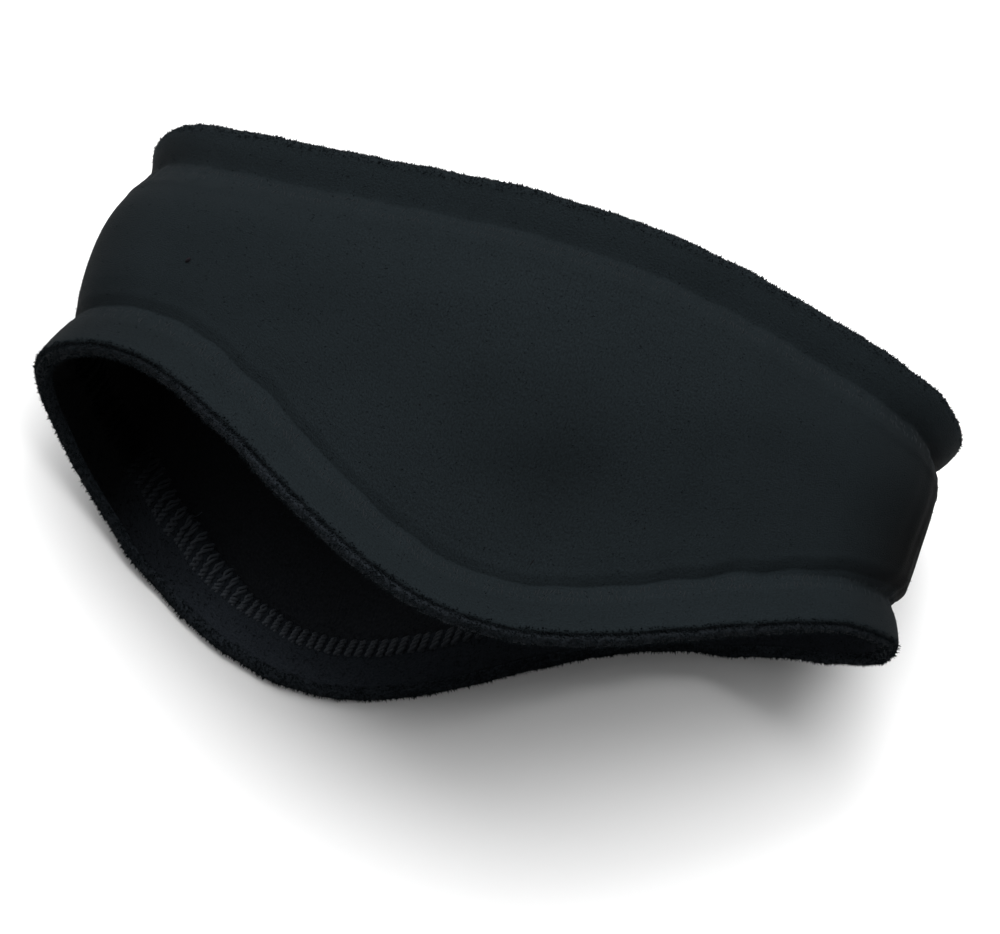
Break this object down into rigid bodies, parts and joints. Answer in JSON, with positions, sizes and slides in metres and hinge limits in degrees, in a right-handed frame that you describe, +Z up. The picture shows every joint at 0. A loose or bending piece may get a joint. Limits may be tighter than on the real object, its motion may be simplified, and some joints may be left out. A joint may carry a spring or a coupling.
{
  "type": "fleece headband",
  "caption": "Fleece headband lying on its side: a wide cloth loop that widens over the ears, with a turned-in, stitched hem at each rim.",
  "frame": {"origin": "On the surface that the headband lies on, under the middle of its box.", "axes": "+Z up from the surface. +X along the loop from the forehead towards the nape. +Y from the rim with the ear flaps to the rim on the crown side."},
  "size_m": [0.242, 0.1272, 0.0872],
  "materials": {
    "band": "brushed fleece",
    "top_hem": "fleece back",
    "bottom_hem": "fleece back"
  },
  "bodies": {
    "root": {"band": "band", "top_hem": "top_hem", "bottom_hem": "bottom_hem"}
  },
  "joints": []
}
